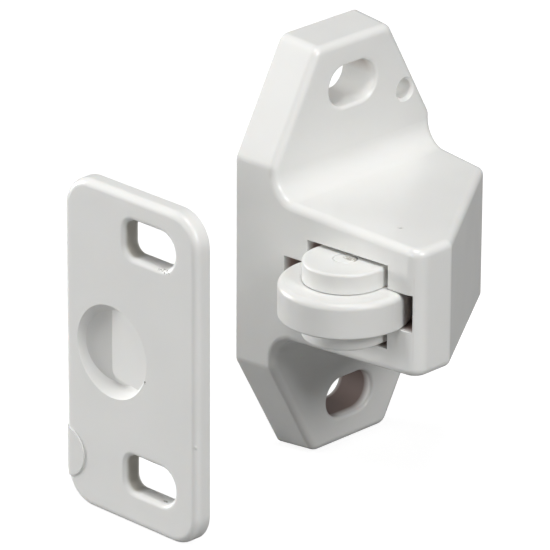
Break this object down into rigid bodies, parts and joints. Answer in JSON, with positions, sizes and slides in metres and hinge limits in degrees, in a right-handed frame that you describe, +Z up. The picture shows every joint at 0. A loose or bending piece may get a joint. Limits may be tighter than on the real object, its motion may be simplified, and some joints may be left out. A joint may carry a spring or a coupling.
{
  "type": "roller catch",
  "caption": "Surface-mounted roller catch for a cabinet door: sprung roller in a moulded body, with a strike plate whose dished recess holds the roller.",
  "frame": {"origin": "centre of the housing's mounting face, halfway between the two screw slots of its flange", "axes": "+X out of the wall, -Y the way the roller points towards the strike plate, +Z up the flange"},
  "size_m": [0.0457, 0.0656, 0.07],
  "materials": {
    "housing": "glossy white moulding",
    "strike_plate": "glossy white moulding",
    "roller_carrier": "satin white nylon",
    "axle_pin": "satin white nylon",
    "pressure_spring": "spring wire",
    "roller": "satin white nylon"
  },
  "bodies": {
    "catch": {"housing": "housing", "strike_plate": "strike_plate"},
    "carrier": {"roller_carrier": "roller_carrier", "axle_pin": "axle_pin", "pressure_spring": "pressure_spring"},
    "wheel": {"roller": "roller"}
  },
  "joints": [
    {"name": "carrier_slide", "type": "slide", "parent": "catch", "child": "carrier", "axis": [0, 1, 0], "range_m": [0, 0.0045], "stiffness_N_per_m": 2000, "springref_m": -0.004, "deforming": ["pressure_spring"]},
    {"name": "roller_spin", "type": "hinge", "parent": "carrier", "child": "wheel", "pos_m": [0.0228, -0.01748, 0], "axis": [0, 0, 1], "continuous": true}
  ]
}
